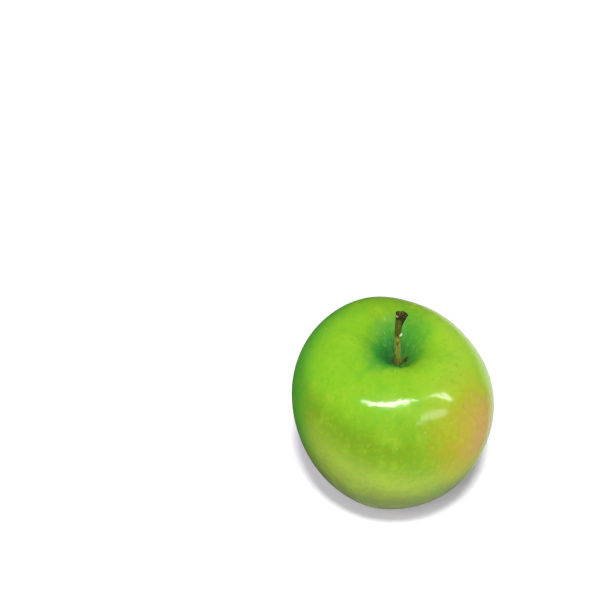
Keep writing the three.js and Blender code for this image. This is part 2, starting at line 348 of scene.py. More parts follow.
def press(fruit, points):
    """Presses the soft flats into points that are already at their height above the floor."""
    for degrees, height, depth, reach in SOFT_FLATS:
        towards = np.array([math.cos(math.radians(degrees)), math.sin(math.radians(degrees)), 0])
        centre = fruit.half_width * towards + np.array([0, 0, height * MM])
        apart = ((points - centre) ** 2).sum(-1, keepdims=True)
        points = points - depth * MM * np.exp(-apart / (reach * MM) ** 2) * towards
    return points


class Growth:
    """The fruit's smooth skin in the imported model's frame, and the places that the other pieces need."""

    ROW_CROWDING = 0.5  # how much closer the rings lie at both ends than on average

    def __init__(self, fruit):
        step = np.linspace(0, 1, fruit.rows + 1)
        along = (step - self.ROW_CROWDING * np.sin(TURN * step) / TURN)[:, None]
        around = (TURN * np.arange(fruit.columns) / fruit.columns)[None, :]
        points = skin(fruit, along, around)
        lift = -points[..., 2].min() - fruit.foot_trim
        points = press(fruit, points + np.array([0, 0, lift]))
        points[..., 2] = np.maximum(points[..., 2], 0)
        low, high = points.min((0, 1)), points.max((0, 1))
        packed_low, packed_high = (np.array(corner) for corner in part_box("fruit"))
        scale = (packed_high - packed_low) / (high - low)
        shift = packed_low - low * scale
        self.points = points * scale + shift
        self.core = shift[:2]
        self.stem_foot = self.points[-1, 0, :2]
        self.cavity_floor = self.points[-1, 0, 2]
        self.basin_floor = self.points[0, 0, 2]
        self.widest = float(lift * scale[2])

    def at(self, right, back, up):
        """A place given from the core and the floor."""
        return np.array([self.core[0] + right, self.core[1] + back, up])

    def spot(self, place):
        """The same for a place in mm, as plain numbers that a node takes."""
        return tuple(self.at(*(length_in_mm * MM for length_in_mm in place)))


class Shells:
    """Gathers closed shells that become one mesh. Each point has a tone from 0 to 1 for its colour."""

    def __init__(self):
        self.points, self.faces, self.tones = [], [], []

    def take(self, points, faces, tone):
        start = sum(len(found) for found in self.points)
        self.points.append(points.reshape(-1, 3))
        self.tones.append(np.broadcast_to(tone, points.reshape(-1, 3).shape[:1]))
        self.faces += [tuple(start + corner for corner in face) for face in faces]

    def rings(self, rings, first, last, tone=0.5):
        """A skin over rings of points, closed at both ends to one point each."""
        steps, sides = rings.shape[:2]
        faces = []
        for k in range(sides):
            after = (k + 1) % sides
            top = (steps - 1) * sides
            faces += [(steps * sides, after, k), (steps * sides + 1, top + k, top + after)]
            for low in range(0, top, sides):
                faces.append((low + k, low + after, low + sides + after, low + sides + k))
        points = np.concatenate([rings.reshape(-1, 3), [first], [last]])
        if np.ndim(tone):
            tone = np.concatenate([np.ravel(tone), [np.ravel(tone)[0], np.ravel(tone)[-1]]])
        self.take(points, faces, tone)

    def blade(self, middle, half_thick, tone):
        """A closed blade. middle and half_thick are grids of points and of offsets to its two faces."""
        rows, columns = middle.shape[:2]
        back = rows * columns
        faces = []
        for i in range(rows - 1):
            for j in range(columns - 1):
                a = i * columns + j
                around = (a, a + 1, a + columns + 1, a + columns)
                faces += [around, tuple(back + corner for corner in reversed(around))]
        edge = list(range(columns))
        edge += [i * columns + columns - 1 for i in range(1, rows)]
        edge += [(rows - 1) * columns + j for j in range(columns - 2, -1, -1)]
        edge += [i * columns for i in range(rows - 2, 0, -1)]
        for a, b in zip(edge, edge[1:] + edge[:1]):
            faces.append((b, a, back + a, back + b))
        points = np.concatenate([(middle - half_thick).reshape(-1, 3), (middle + half_thick).reshape(-1, 3)])
        if np.ndim(tone):
            tone = np.concatenate([np.ravel(tone), np.ravel(tone)])
        self.take(points, faces, tone)

    def piece(self, name, material, node):
        """The finished piece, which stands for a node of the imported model."""
        mesh = bpy.data.meshes.new(name)
        mesh.from_pydata(np.concatenate(self.points).tolist(), [], self.faces)
        mesh.attributes.new("tone", "FLOAT", "POINT").data.foreach_set(
            "value", np.concatenate(self.tones).astype(np.float32)
        )
        mesh.materials.append(material)
        mesh.shade_smooth()
        mesh.update()
        made = bpy.data.objects.new(name, mesh)
        bpy.context.scene.collection.objects.link(made)
        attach(made, BODY)
        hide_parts(node)


def tube(middles, radius_at, sides):
    """Rings of points round a line. radius_at(angles) gives a row of radii for each step."""
    heading = np.gradient(middles, axis=0)
    heading /= np.linalg.norm(heading, axis=1, keepdims=True)
    out = np.array([1.0, 0, 0]) - heading * heading[:, :1]
    out /= np.linalg.norm(out, axis=1, keepdims=True)
    side = np.cross(heading, out)
    angles = TURN * np.arange(sides) / sides
    radii = radius_at(angles)[..., None]
    ring = np.cos(angles)[None, :, None] * out[:, None] + np.sin(angles)[None, :, None] * side[:, None]
    return middles[:, None] + radii * ring


# ---- Materials -------------------------------------------------------------------------------------


class Graph:
    """Builds the nodes of a material or a world by calls, each of which returns the new node's output."""

    def __init__(self, owner):
        owner.use_nodes = True
        self.owner = owner
        self.tree = owner.node_tree

    def put(self, socket, value):
        if isinstance(value, bpy.types.NodeSocket):
            self.tree.links.new(value, socket)
        elif socket.type == "RGBA":
            socket.default_value = (*value, 1)
        else:
            socket.default_value = value

    def node(self, kind, inputs=(), output=0, **settings):
        made = self.tree.nodes.new(kind)
        for name, value in settings.items():
            setattr(made, name, value)
        for name, value in dict(inputs).items():
            self.put(made.inputs[name], value)
        return made.outputs[output]

    def place(self):
        return self.node("ShaderNodeTexCoord", output="Object")

    def tone(self):
        return self.node("ShaderNodeAttribute", output="Fac", attribute_name="tone")

    def math(self, operation, *values):
        return self.node("ShaderNodeMath", enumerate(values), operation=operation)

    def times(self, *values):
        product = values[0]
        for value in values[1:]:
            product = self.math("MULTIPLY", product, value)
        return product

    def plus(self, *values):
        total = values[0]
        for value in values[1:]:
            total = self.math("ADD", total, value)
        return total

    def vector(self, operation, *values, output=0):
        return self.node("ShaderNodeVectorMath", enumerate(values), output, operation=operation)

    def distance(self, place, spot):
        return self.vector("DISTANCE", place, spot, output="Value")

    def stretch(self, vector, *factors):
        return self.vector("MULTIPLY", vector, factors if len(factors) == 3 else factors * 3)

    def split(self, vector):
        made = self.tree.nodes.new("ShaderNodeSeparateXYZ")
        self.put(made.inputs[0], vector)
        return made.outputs

    def join(self, x, y, z):
        return self.node("ShaderNodeCombineXYZ", {0: x, 1: y, 2: z})

    def fade(self, value, low, high):
        """0 at low and 1 at high, with a smooth start and end. low may be above high."""
        rising = low < high
        limits = {"From Min": min(low, high), "From Max": max(low, high)}
        results = {"To Min": 0 if rising else 1, "To Max": 1 if rising else 0}
        inputs = {"Value": value, **limits, **results}
        return self.node("ShaderNodeMapRange", inputs, interpolation_type="SMOOTHSTEP")

    def noise(self, where, scale, detail, roughness):
        """Noise from 0 to 1, mostly near the middle."""
        inputs = {"Vector": where, "Scale": scale, "Detail": detail, "Roughness": roughness}
        return self.node("ShaderNodeTexNoise", inputs)

    def spots(self, where, scale, smallest, largest):
        """1 in round spots of mixed sizes, scattered with one to a cell, fading to 0 at their edges."""
        cells = self.tree.nodes.new("ShaderNodeTexVoronoi")
        self.put(cells.inputs["Vector"], where)
        self.put(cells.inputs["Scale"], scale)
        chance = self.split(cells.outputs["Color"])[0]
        size = self.plus(smallest, self.times(chance, largest - smallest))
        size = self.math("MAXIMUM", size, 0.001)
        share_out = self.math("DIVIDE", cells.outputs["Distance"], size)
        return self.fade(share_out, 1.0, 0.35)

    def mix(self, amount, base, other):
        """Colour that turns from base to other as amount goes from 0 to 1."""
        made = self.tree.nodes.new("ShaderNodeMix")
        made.data_type = "RGBA"
        self.put(made.inputs["Factor"], amount)
        for name, value in (("A", base), ("B", other)):
            socket = next(s for s in made.inputs if s.name == name and s.type == "RGBA")
            self.put(socket, value)
        return next(s for s in made.outputs if s.type == "RGBA")

    def bump(self, height, distance):
        return self.node("ShaderNodeBump", {"Height": height, "Distance": distance, "Strength": 1.0})

    def finish(self, **inputs):
        """Sets the shader's own sockets, named with underscores for spaces, and returns the material."""
        shader = self.tree.nodes["Principled BSDF"]
        for name, value in inputs.items():
            self.put(shader.inputs[name.replace("_", " ")], value)
        return self.owner


def material_graph(name):
    """The graph of a new material."""
    return Graph(bpy.data.materials.new(name))


class SkinPaint:
    """Waxy skin: greens that turn from painted shade to the sunny side, a blush, a cavity darkened with
    painted shade and pale dots.
    """

    # Noises: how many humps to a metre, their detail and their roughness.
    BLOTCHES = (42, 3, 0.55)
    PATCHES = (170, 3, 0.55)
    MOTTLE = (560, 4, 0.7)
    CORK = (1500, 3, 0.65)
    PORES = (1100, 2, 0.5)
    PEEL = (400, 1, 0.5)
    RUFFLE = (750, 1, 0.5)
    # Heights above the floor, in mm, over which the skin comes to be one of these.
    CROWN = (40, 50)
    BASE = (22, 12)
    RIPE = (38, 58)
    # OLIVE also paints light on the lower half, and UNDERSIDE paints shade near the floor.
    OLIVE = (52, 36)
    UNDERSIDE = (42, 20)
    SHOULDER = (53, 65)
    WIDE_DOTS = (18, 34)
    CLOSE_DOTS = (40, 20)
    # Distances towards the shaded side, in mm, over which shade is painted on and then eased off further
    # round.
    SHADE = (3, 17.5)
    FAR_SIDE = (27, 37)
    # Distances from the warm spot and the sun spot, in mm.
    WARM = (26, 6)
    BLUSH = (15, 1)
    # Distances from the middle of the cavity or the basin, in mm.
    RIPE_RING = (11, 22)
    # CAVITY reaches the cavity's greener skin with its painted shade, and CAVITY_FLOOR the painted shade on
    # its floor.
    CAVITY = (17, 7)
    CAVITY_FLOOR = (9.5, 2.5)
    PALE_RAYS = (18, 9)
    DASHES_FROM, DASHES_TO = (4, 7), (17, 13)
    STEM_CORK = (3.6, 1.9)
    CALYX_CORK = (7.5, 3.5)
    DULL = (21, 15)

    def __init__(self, colours, growth):
        self.g = g = material_graph("apple_skin")
        self.colours, self.growth = colours, growth
        self.place = g.place()
        self.z = g.split(self.place)[2]
        self.in_crown = self.within(self.z, self.CROWN)
        self.in_base = self.within(self.z, self.BASE)
        to_stem = growth.stem_foot - growth.core
        middle = g.join(
            g.plus(growth.core[0], g.times(self.in_crown, to_stem[0])),
            g.plus(growth.core[1], g.times(self.in_crown, to_stem[1])),
            self.z,
        )
        level = g.vector("SUBTRACT", self.place, middle)
        self.radius = g.vector("LENGTH", level, output="Value")
        self.heading = g.vector("NORMALIZE", level)
        self.head_x, self.head_y, _ = g.split(self.heading)
        self.blotches = g.noise(self.place, *self.BLOTCHES)
        self.patches = g.noise(self.place, *self.PATCHES)
        self.mottle = g.noise(self.place, *self.MOTTLE)
        self.cork = g.noise(self.place, *self.CORK)
        self.colour = colours.green

    def within(self, value, limits):
        """0 at the first of two limits in mm and 1 at the second."""
        return self.g.fade(value, limits[0] * MM, limits[1] * MM)

    def shaken(self, value, *noises):
        """A length made ragged by noises, each given with its height in mm."""
        g = self.g
        return g.plus(value, *(g.times(g.plus(found, -0.5), height * MM) for found, height in noises))

    def rays_at(self, number, along, pace):
        """Where to look up noise that makes rays: number sets how many, and pace how soon they end."""
        g = self.g
        return g.vector("ADD", g.stretch(self.heading, number), g.join(0, 0, g.times(along, pace)))

    def paint(self, amount, strength, colour):
        """Turns the skin to a colour by the share strength where amount is 1."""
        self.colour = self.g.mix(self.g.times(amount, strength), self.colour, colour)

    def paint_greens(self):
        """Painted shade on the shaded side and near the floor, yellower on the sunny shoulder, olive below
        with some painted light.
        """
        g, colours = self.g, self.colours
        unevenness = g.times(g.plus(self.blotches, -0.5), 1.5)
        body_rays = g.noise(self.rays_at(9, self.z, 30), scale=1, detail=3, roughness=0.6)

        # Painted shade: a darker green along the left and back-left edge, eased off further round.
        from_widest = g.vector("SUBTRACT", self.place, tuple(self.growth.at(0, 0, self.growth.widest)))
        shady = g.vector("DOT_PRODUCT", from_widest, SHADED_SIDE, output="Value")
        shady = self.shaken(g.plus(shady, g.times(unevenness, 5 * MM)), (body_rays, 8))
        in_shade = g.plus(
            g.times(self.within(shady, self.SHADE), 0.82),
            g.times(self.within(shady, self.FAR_SIDE), -0.32),
        )
        sunny = g.plus(g.times(self.head_x, 0.9), g.times(self.head_y, -0.15))
        ripe = g.times(
            g.fade(g.plus(sunny, unevenness), 0.0, 0.9),
            self.within(self.z, self.RIPE),
            self.within(self.radius, self.RIPE_RING),
        )
        # Olive below, which partly paints light onto the lower half.
        ragged_z = g.plus(self.z, g.times(unevenness, 8 * MM), g.times(self.head_x, 6 * MM))
        self.paint(self.within(ragged_z, self.OLIVE), 0.92, colours.olive)
        # Painted shade near the floor.
        under = self.within(g.plus(self.z, g.times(unevenness, 6 * MM)), self.UNDERSIDE)
        self.paint(under, 0.9, colours.under)
        high = self.within(g.plus(self.z, g.times(unevenness, 4 * MM)), self.SHOULDER)
        self.paint(g.times(high, g.fade(self.head_y, 1.4, 0.4)), 0.8, colours.shoulder)
        self.paint(ripe, 0.85, colours.yellow)
        # Low down, the green painted shade gives way to the darker painted shade near the floor.
        in_shade = g.times(in_shade, g.plus(1, g.times(under, -0.75)))
        self.paint(in_shade, 1, colours.shade)

        streaks = g.times(g.fade(body_rays, 0.5, 0.75), 0.22)
        light_patches = g.plus(streaks, g.times(g.fade(self.patches, 0.5, 0.75), 0.34))
        self.paint(light_patches, g.plus(1, g.times(in_shade, -0.75)), colours.yellow)
        self.paint(g.fade(self.patches, 0.5, 0.25), 0.18, colours.shade)

    def paint_blush(self):
        """A warm tone and a blush, broken up by blotches and streaks. Returns where the blush is."""
        g = self.g
        fine_rays = g.noise(self.rays_at(30, self.z, 40), scale=1, detail=3, roughness=0.65)
        noises = ((self.patches, 9), (self.blotches, 16), (fine_rays, 10))
        from_warm_spot = g.distance(self.place, self.growth.spot(WARM_SPOT))
        self.paint(self.within(self.shaken(from_warm_spot, *noises), self.WARM), 0.8, self.colours.warm)
        from_sun_spot = g.distance(self.place, self.growth.spot(SUN_SPOT))
        blush = self.within(self.shaken(from_sun_spot, *noises), self.BLUSH)
        self.paint(blush, 0.72, self.colours.blush)
        return blush

    def paint_cavity(self):
        """Greener skin darkened with painted shade, with a lopsided outline, and rays that run out over the
        crown. Returns where it is.
        """
        g, colours, head_x, head_y = self.g, self.colours, self.head_x, self.head_y
        rays = g.noise(self.rays_at(7, self.radius, 110), scale=1, detail=3, roughness=0.6)
        oval = g.plus(1, g.times(head_x, 0.1), g.times(head_y, -0.14))
        oval = g.plus(oval, g.times(head_x, head_x, 0.2), g.times(head_x, head_y, -0.45))
        at_front = g.fade(head_y, -0.55, -1)
        oval = g.plus(oval, g.times(at_front, g.plus(0.22, g.times(head_x, 0.85))))
        ragged_radius = self.shaken(g.times(self.radius, oval), (rays, 4), (self.patches, 5))
        in_cavity = g.times(self.within(ragged_radius, self.CAVITY), self.in_crown)
        # Painted shade in the cavity, stronger on the left and deepest on its floor.
        deep = g.times(self.within(self.radius, self.CAVITY_FLOOR), self.in_crown)
        self.paint(in_cavity, g.plus(0.86, g.times(head_x, -0.18)), colours.cavity)
        self.paint(deep, g.plus(0.74, g.times(head_x, -0.3)), colours.cavity_deep)
        near = g.times(self.within(self.radius, self.PALE_RAYS), self.in_crown)
        self.paint(g.times(g.fade(rays, 0.55, 0.72), near), 0.1, colours.yellow)

        dashes = g.times(
            g.spots(self.rays_at(12, self.radius, 260), scale=1, smallest=0.02, largest=0.26),
            self.within(self.radius, self.DASHES_FROM),
            self.within(self.radius, self.DASHES_TO),
            self.in_crown,
        )
        self.paint(dashes, 0.45, colours.lenticel)
        return in_cavity

    def paint_cork(self):
        """Corky skin at the stem and round the calyx. Returns where it is."""
        g = self.g
        ragged_radius = g.plus(self.radius, g.times(self.cork, 1.6 * MM))
        at_stem = g.times(self.within(ragged_radius, self.STEM_CORK), self.in_crown)
        ragged_radius = g.plus(self.radius, g.times(self.cork, 3 * MM))
        at_calyx = g.times(self.within(ragged_radius, self.CALYX_CORK), self.in_base)
        corky = g.plus(at_stem, g.times(at_calyx, 0.7))
        self.paint(corky, 1, self.colours.russet)
        return corky

    def paint_dots(self, blush):
        """Fine mottling, and pale dots, larger and further apart above. Returns where the dots are."""
        g, colours = self.g, self.colours
        self.paint(g.fade(self.mottle, 0.5, 0.72), 0.32, colours.yellow)
        self.paint(g.fade(self.mottle, 0.5, 0.28), 0.3, colours.shade)
        wide_dots = g.spots(self.place, scale=210, smallest=0.02, largest=0.13)
        wide_dots = g.times(wide_dots, self.within(self.z, self.WIDE_DOTS))
        close_dots = g.spots(self.place, scale=330, smallest=0.02, largest=0.16)
        close_dots = g.times(close_dots, self.within(self.z, self.CLOSE_DOTS))
        dots = g.math("MAXIMUM", wide_dots, close_dots)
        self.paint(dots, g.plus(0.3, g.times(blush, 0.2)), colours.lenticel)
        return dots

    def material(self):
        """Paints the skin, and adds its relief and its coat of wax."""
        g = self.g
        self.paint_greens()
        blush = self.paint_blush()
        in_cavity = self.paint_cavity()
        corky = self.paint_cork()
        dots = self.paint_dots(blush)
        pores = g.noise(self.place, *self.PORES)
        peel = g.noise(self.place, *self.PEEL)
        ruffle = g.noise(self.place, *self.RUFFLE)
        # Heights of the relief are in mm.
        height = g.plus(
            g.times(pores, 0.010),
            g.times(peel, 0.020),
            g.times(dots, 0.012),
            g.times(self.cork, corky, 0.12),
            g.times(self.mottle, 0.012),
        )
        wax_height = g.plus(g.times(peel, 0.026), g.times(ruffle, 0.028), g.times(self.mottle, 0.024))
        roughness = g.plus(
            0.36,
            g.times(self.mottle, 0.1),
            g.times(in_cavity, 0.15),
            g.times(corky, 0.2),
        )
        dull = g.times(self.within(self.radius, self.DULL), self.in_crown)
        return g.finish(
            Base_Color=self.colour,
            Roughness=roughness,
            Normal=g.bump(height, MM),
            Coat_Normal=g.bump(wax_height, MM),
            Coat_Weight=g.plus(0.58, g.times(dull, -0.53)),
            Coat_Roughness=0.085,
            Coat_IOR=1.45,
            Specular_IOR_Level=0.05,
            Subsurface_Weight=0.1,
            Subsurface_Radius=(1.0, 1.2, 0.3),
            Subsurface_Scale=1.6 * MM,
        )


def bark_material(colours, growth):
    """Ridged bark, green-brown near the fruit and dark near the cut end. Low tones include painted shade
    down one side; high tones are scars and a painted glint.
    """
    g = material_graph("stem_bark")
    place = g.place()
    z = g.split(place)[2]
    tone = g.tone()
    grain = g.noise(g.stretch(place, 1, 1, 0.16), scale=2600, detail=3, roughness=0.65)
    patches = g.noise(place, scale=420, detail=2, roughness=0.5)
    flecks = g.spots(g.stretch(place, 1, 1, 0.55), scale=1500, smallest=0.05, largest=0.3)
    low, high = growth.cavity_floor + 9 * MM, growth.cavity_floor + 17 * MM
    darkening = g.fade(g.plus(z, g.times(g.plus(patches, -0.5), 9 * MM)), low, high)
    bark = g.mix(darkening, colours.bark_low, colours.bark_high)
    grooves = g.fade(grain, 0.56, 0.34)
    bark = g.mix(g.times(grooves, 0.65), bark, colours.bark_dark)
    # Low tones: the dark bracts and rim, and painted shade down one side of the upper stem.
    bark = g.mix(g.times(g.fade(tone, 0.3, 0.1), 0.85), bark, colours.bark_dark)
    bark = g.mix(g.times(flecks, 0.45), bark, colours.scar)
    torn = g.noise(place, scale=1700, detail=3, roughness=0.7)
    wood = g.mix(g.fade(torn, 0.44, 0.66), colours.bark_dark, colours.cut)
    bark = g.mix(g.fade(tone, 0.55, 0.75), bark, wood)
    # High tones: the bud scar, and a painted glint on the rim.
    bark = g.mix(g.fade(tone, 0.8, 0.95), bark, colours.scar)
    height_in_mm = g.plus(g.times(grain, 0.09), g.times(patches, 0.05), g.times(flecks, 0.03))
    return g.finish(
        Base_Color=bark,
        Roughness=g.plus(0.5, g.times(grain, 0.3)),
        Normal=g.bump(height_in_mm, MM),
        Specular_IOR_Level=0.12,
    )


def calyx_material(colours):
    """Dry, papery sepals with dark folds, and paler stamens and hairs. High tones are pale."""
    g = material_graph("dried_calyx")
    place = g.place()
    tone = g.tone()
    fibres = g.noise(g.stretch(place, 1, 1, 0.2), scale=3200, detail=3, roughness=0.6)
    patches = g.noise(place, scale=700, detail=3, roughness=0.6)
    colour_now = g.mix(g.fade(patches, 0.62, 0.38), colours.brown, colours.dark)
    colour_now = g.mix(g.fade(tone, 0.35, 0.05), colour_now, colours.dark)
    colour_now = g.mix(g.fade(tone, 0.6, 0.95), colour_now, colours.pale)
    colour_now = g.mix(g.times(g.fade(fibres, 0.5, 0.7), 0.35), colour_now, colours.pale)
    height_in_mm = g.plus(g.times(fibres, 0.08), g.times(patches, 0.08))
    return g.finish(
        Base_Color=colour_now,
        Roughness=g.plus(0.7, g.times(fibres, 0.25)),
        Normal=g.bump(height_in_mm, MM),
        Specular_IOR_Level=0.25,
        Sheen_Weight=0.25,
        Sheen_Roughness=0.5,
    )


def floor_material(colours):
    """A pale, matt board with a hardly visible tooth. It glows where the lamp over the apple falls off."""
    g = material_graph("pale_floor")
    place = g.place()
    tooth = g.noise(place, scale=900, detail=3, roughness=0.6)
    away = g.vector("LENGTH", place, output="Value")
    glow_from, glow_to = 160 * MM, 480 * MM
    return g.finish(
        Base_Color=colours.floor,
        Emission_Color=(1, 1, 1),
        Emission_Strength=g.times(g.fade(away, glow_from, glow_to), 0.5),
        Roughness=g.plus(0.75, g.times(tooth, 0.1)),
        Normal=g.bump(tooth, 0.01 * MM),
        Specular_IOR_Level=0.2,
    )


# ---- Pieces ----------------------------------------------------------------------------------------


def relief(fruit, growth, points):
    """Height of the fine relief at each point of the skin's grid."""
    flat = points.reshape(-1, 3)
    is_crown = fade(flat[:, 2], 40 * MM, 50 * MM)
    middle = growth.core + is_crown[:, None] * (growth.stem_foot - growth.core)
    place = flat[:, :2] - middle
    radius = np.hypot(place[:, 0], place[:, 1])
    around = np.arctan2(place[:, 1], place[:, 0])
    is_base = 1 - fade(flat[:, 2], 14 * MM, 24 * MM)
    off_floor = fade(flat[:, 2], 0, 2 * MM)

    uneven = fruit.swells * bumps(flat, 24 * MM, seed=1) + fruit.dents * bumps(flat, 8 * MM, seed=2)
    uneven = uneven * (0.25 + 0.75 * off_floor)
    pleats = waves(around, PLEATS) * (0.6 + 0.8 * bumps(flat, 5 * MM, seed=3))
    in_cavity = is_crown * fade(radius, 14 * MM, 7 * MM) * fade(radius, 1.5 * MM, 5 * MM)
    puckers = np.cos(fruit.lobes * (around - fruit.lobe_turn)) + waves(around, PUCKERS)
    in_basin = is_base * fade(radius, 11 * MM, 5 * MM) * fade(radius, 1 * MM, 4 * MM) * off_floor
    welt_radius, welt_width = 2.3 * MM, 0.9 * MM
    welt = is_crown * np.exp(-(((radius - welt_radius) / welt_width) ** 2))
    ragged = 1 + 0.5 * bumps(flat, 1.3 * MM, seed=4)
    return (
        uneven
        + fruit.cavity_pleats * pleats * in_cavity
        + fruit.basin_pleats * puckers * in_basin
        + fruit.stem_welt * welt * ragged
    )


def outwards(points):
    """Unit normals of a closed grid of rings."""
    up = np.gradient(points, axis=0)
    round_about = np.roll(points, -1, 1) - np.roll(points, 1, 1)
    normals = np.cross(round_about, up)
    smallest = 1e-12  # keeps the division from failing where rings shrink to a point
    return normals / np.maximum(np.linalg.norm(normals, axis=-1, keepdims=True), smallest)


class APPLE_OT_grow_fruit(Operator):
    """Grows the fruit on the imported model's form, with its fine relief and its waxy skin"""

    bl_idname = "apple.grow_fruit"
    bl_label = "Fruit"

    def execute(self, context):
        fruit = context.scene.apple_fruit
        growth = Growth(fruit)
        rings = growth.points[1:-1]
        heights = relief(fruit, growth, rings).reshape(rings.shape[:2])[..., None]
        rings = rings + heights * outwards(rings)
        rings[..., 2] = np.maximum(rings[..., 2], 0)
        shells = Shells()
        shells.rings(rings, growth.points[0, 0], growth.points[-1, 0])
        material = SkinPaint(context.scene.apple_skin, growth).material()
        shells.piece("fruit_skin", material, "fruit")
        return {"FINISHED"}


def stem_wall(stem, shares, angles):
    """The stem's radius at each share of its whole length and each angle."""
    root = stem.root / (stem.root + stem.reach)
    above = np.maximum(0, (shares - root) / (1 - root))[:, None]
    collar = stem.collar * np.exp(-((above / stem.collar_reach) ** 2))
    knob = stem.knob * np.maximum(0, (above - stem.knob_start) / (1 - stem.knob_start)) ** 2
    ridges = 1 + 0.05 * np.cos(3 * angles + 4 * above) + 0.03 * np.cos(5 * angles)
    lumps = 1 + 0.12 * (knob / MM) * np.cos(2 * angles) + 0.05 * (knob / MM) * np.cos(5 * angles + 1)
    return (stem.radius + collar + knob) * ridges * lumps


def stem_relief(stem, rings, angles, heights):
    """Grooves along the bark, and small lumps."""
    flat = rings.reshape(-1, 3)
    stretched = flat * np.array([1, 1, 0.14])
    grooves = np.minimum(0, bumps(stretched, 0.5 * MM, seed=5)) * 1.8 + 0.4 * bumps(flat, 1.6 * MM, seed=6)
    ribs = 0.35 * np.cos(9 * angles + 2 * np.sin(heights / (4 * MM)))
    return stem.fissures * (grooves.reshape(rings.shape[:2]) + ribs)


